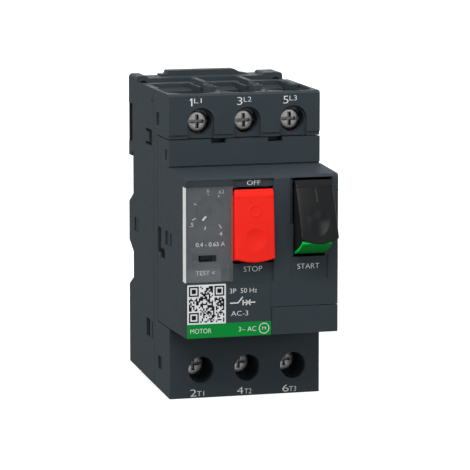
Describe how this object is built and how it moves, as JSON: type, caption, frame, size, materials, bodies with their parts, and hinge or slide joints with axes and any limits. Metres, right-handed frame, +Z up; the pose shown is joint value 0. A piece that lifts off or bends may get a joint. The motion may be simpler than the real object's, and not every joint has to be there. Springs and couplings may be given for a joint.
{
  "type": "motor protection breaker",
  "caption": "Rail-mounted motor protection breaker with start and stop push-buttons, a current setting dial under a clear cover, and screw clamps above and below.",
  "frame": {"origin": "on the back plane, at the middle of the width and at the height of the mounting rail's centre line", "axes": "+Y points into the panel, out of the back; -Y is the front; +Z is up; +X is to the right seen from the front"},
  "size_m": [0.045, 0.0743, 0.0908],
  "materials": {
    "housing": "fine matt texture",
    "stop_red": "satin",
    "start_black": "satin",
    "indicator_green": "matt",
    "clear_plastic": "lightly frosted",
    "dial_grey": "matt",
    "inner_plastic": "matt",
    "label": "matt film",
    "print_white": "pad-printed ink",
    "print_black": "pad-printed ink",
    "print_green": "printed film",
    "zinc_steel": "zinc plated",
    "steel": "as rolled",
    "spring_steel": "drawn wire",
    "copper": "bare copper"
  },
  "bodies": {
    "housing": {"base_housing": "housing", "terminal_housing": "housing", "front_cover": "housing", "blanking_cover": "housing", "rating_label": "label", "lock_frame": "steel", "lock_spring": "spring_steel", "latch_spring": "spring_steel", "line_contact_1": "copper", "load_contact_1": "copper", "load_conductor_1": "copper", "arc_chute_1": "steel", "trip_coil_1": "copper", "line_contact_2": "copper", "load_contact_2": "copper", "load_conductor_2": "copper", "arc_chute_2": "steel", "trip_coil_2": "copper", "line_contact_3": "copper", "load_contact_3": "copper", "load_conductor_3": "copper", "arc_chute_3": "steel", "trip_coil_3": "copper"},
    "start": {"start_button": "start_black", "start_indicator": "indicator_green"},
    "stop": {"stop_button": "stop_red"},
    "carrier": {"contact_carrier": "inner_plastic", "moving_contact_1": "copper", "contact_spring_1": "spring_steel", "moving_contact_2": "copper", "contact_spring_2": "spring_steel", "moving_contact_3": "copper", "contact_spring_3": "spring_steel"},
    "lever": {"switch_lever": "steel"},
    "dial": {"setting_dial": "dial_grey"},
    "clear_cover": {"dial_cover": "clear_plastic"},
    "test": {"test_lever": "inner_plastic"},
    "latch": {"rail_latch": "inner_plastic"},
    "slider": {"trip_slider": "inner_plastic"},
    "line_screw_1": {"line_screw_1": "zinc_steel"},
    "line_cage_1": {"line_cage_1": "zinc_steel"},
    "load_screw_1": {"load_screw_1": "zinc_steel"},
    "load_cage_1": {"load_cage_1": "zinc_steel"},
    "plunger_1": {"trip_plunger_1": "steel"},
    "bimetal_1": {"bimetal_strip_1": "spring_steel", "heater_winding_1": "copper"},
    "line_screw_2": {"line_screw_2": "zinc_steel"},
    "line_cage_2": {"line_cage_2": "zinc_steel"},
    "load_screw_2": {"load_screw_2": "zinc_steel"},
    "load_cage_2": {"load_cage_2": "zinc_steel"},
    "plunger_2": {"trip_plunger_2": "steel"},
    "bimetal_2": {"bimetal_strip_2": "spring_steel", "heater_winding_2": "copper"},
    "line_screw_3": {"line_screw_3": "zinc_steel"},
    "line_cage_3": {"line_cage_3": "zinc_steel"},
    "load_screw_3": {"load_screw_3": "zinc_steel"},
    "load_cage_3": {"load_cage_3": "zinc_steel"},
    "plunger_3": {"trip_plunger_3": "steel"},
    "bimetal_3": {"bimetal_strip_3": "spring_steel", "heater_winding_3": "copper"}
  },
  "joints": [
    {"name": "start_press", "type": "hinge", "parent": "housing", "child": "start", "pos_m": [0, -0.061, 0.0148], "axis": [1, 0, 0], "range_deg": [0, 22.1]},
    {"name": "stop_rise", "type": "hinge", "parent": "housing", "child": "stop", "pos_m": [0, -0.061, 0.0148], "axis": [-1, 0, 0], "range_deg": [0, 22.1]},
    {"name": "contacts_close", "type": "slide", "parent": "housing", "child": "carrier", "axis": [0, 1, 0], "range_m": [0, 0.004]},
    {"name": "lever_tilt", "type": "hinge", "parent": "housing", "child": "lever", "pos_m": [0.005, -0.047, -0.0022], "axis": [-1, 0, 0], "range_deg": [0, 16.1], "deforming": ["lock_spring"]},
    {"name": "dial_turn", "type": "hinge", "parent": "housing", "child": "dial", "pos_m": [-0.0144, -0.062, 0.0076], "axis": [0, 1, 0], "range_deg": [-135, 135]},
    {"name": "clear_cover_open", "type": "hinge", "parent": "housing", "child": "clear_cover", "pos_m": [-0.02205, -0.06335, 0.00125], "axis": [0, 0, -1], "range_deg": [0, 95]},
    {"name": "test_push", "type": "slide", "parent": "housing", "child": "test", "axis": [-1, 0, 0], "range_m": [0, 0.002], "stiffness_N_per_m": 200},
    {"name": "latch_release", "type": "slide", "parent": "housing", "child": "latch", "axis": [0, 0, -1], "range_m": [0, 0.0026], "stiffness_N_per_m": 800, "springref_m": -0.001, "deforming": ["latch_spring"]},
    {"name": "slider_shift", "type": "slide", "parent": "housing", "child": "slider", "axis": [1, 0, 0], "range_m": [0, 0.00136]},
    {"name": "line_screw_1_turn", "type": "hinge", "parent": "housing", "child": "line_screw_1", "pos_m": [-0.013, -0.0404, 0.0308], "axis": [0, 1, 0], "range_deg": [0, 1085]},
    {"name": "line_cage_1_draw", "type": "slide", "parent": "housing", "child": "line_cage_1", "axis": [0, -1, 0], "range_m": [0, 0.0021]},
    {"name": "load_screw_1_turn", "type": "hinge", "parent": "housing", "child": "load_screw_1", "pos_m": [-0.013, -0.035, -0.041], "axis": [0, 1, 0], "range_deg": [0, 1085]},
    {"name": "load_cage_1_draw", "type": "slide", "parent": "housing", "child": "load_cage_1", "axis": [0, -1, 0], "range_m": [0, 0.0021]},
    {"name": "plunger_1_strike", "type": "slide", "parent": "housing", "child": "plunger_1", "axis": [0, 0, 1], "range_m": [0, 0.0022]},
    {"name": "bimetal_1_bend", "type": "hinge", "parent": "housing", "child": "bimetal_1", "pos_m": [-0.013, -0.0112, -0.0302], "axis": [0, 1, 0], "range_deg": [0, 3.05], "stiffness_Nm_per_rad": 0.05},
    {"name": "line_screw_2_turn", "type": "hinge", "parent": "housing", "child": "line_screw_2", "pos_m": [0.0008, -0.0404, 0.0308], "axis": [0, 1, 0], "range_deg": [0, 1085]},
    {"name": "line_cage_2_draw", "type": "slide", "parent": "housing", "child": "line_cage_2", "axis": [0, -1, 0], "range_m": [0, 0.0021]},
    {"name": "load_screw_2_turn", "type": "hinge", "parent": "housing", "child": "load_screw_2", "pos_m": [0.0008, -0.035, -0.041], "axis": [0, 1, 0], "range_deg": [0, 1085]},
    {"name": "load_cage_2_draw", "type": "slide", "parent": "housing", "child": "load_cage_2", "axis": [0, -1, 0], "range_m": [0, 0.0021]},
    {"name": "plunger_2_strike", "type": "slide", "parent": "housing", "child": "plunger_2", "axis": [0, 0, 1], "range_m": [0, 0.0022]},
    {"name": "bimetal_2_bend", "type": "hinge", "parent": "housing", "child": "bimetal_2", "pos_m": [0.0008, -0.0112, -0.0302], "axis": [0, 1, 0], "range_deg": [0, 3.05], "stiffness_Nm_per_rad": 0.05},
    {"name": "line_screw_3_turn", "type": "hinge", "parent": "housing", "child": "line_screw_3", "pos_m": [0.0146, -0.0404, 0.0308], "axis": [0, 1, 0], "range_deg": [0, 1085]},
    {"name": "line_cage_3_draw", "type": "slide", "parent": "housing", "child": "line_cage_3", "axis": [0, -1, 0], "range_m": [0, 0.0021]},
    {"name": "load_screw_3_turn", "type": "hinge", "parent": "housing", "child": "load_screw_3", "pos_m": [0.0146, -0.035, -0.041], "axis": [0, 1, 0], "range_deg": [0, 1085]},
    {"name": "load_cage_3_draw", "type": "slide", "parent": "housing", "child": "load_cage_3", "axis": [0, -1, 0], "range_m": [0, 0.0021]},
    {"name": "plunger_3_strike", "type": "slide", "parent": "housing", "child": "plunger_3", "axis": [0, 0, 1], "range_m": [0, 0.0022]},
    {"name": "bimetal_3_bend", "type": "hinge", "parent": "housing", "child": "bimetal_3", "pos_m": [0.0146, -0.0112, -0.0302], "axis": [0, 1, 0], "range_deg": [0, 3.05], "stiffness_Nm_per_rad": 0.05}
  ],
  "couplings": [
    {"joint": "start_press", "follows": "contacts_close", "rad_per_m": 95.993},
    {"joint": "stop_rise", "follows": "contacts_close", "rad_per_m": 95.993},
    {"joint": "lever_tilt", "follows": "contacts_close", "rad_per_m": 69.813},
    {"joint": "line_screw_1_turn", "follows": "line_cage_1_draw", "rad_per_m": 8976},
    {"joint": "load_screw_1_turn", "follows": "load_cage_1_draw", "rad_per_m": 8976},
    {"joint": "bimetal_1_bend", "follows": "slider_shift", "rad_per_m": 38.462},
    {"joint": "line_screw_2_turn", "follows": "line_cage_2_draw", "rad_per_m": 8976},
    {"joint": "load_screw_2_turn", "follows": "load_cage_2_draw", "rad_per_m": 8976},
    {"joint": "bimetal_2_bend", "follows": "slider_shift", "rad_per_m": 38.462},
    {"joint": "line_screw_3_turn", "follows": "line_cage_3_draw", "rad_per_m": 8976},
    {"joint": "load_screw_3_turn", "follows": "load_cage_3_draw", "rad_per_m": 8976},
    {"joint": "bimetal_3_bend", "follows": "slider_shift", "rad_per_m": 38.462}
  ]
}
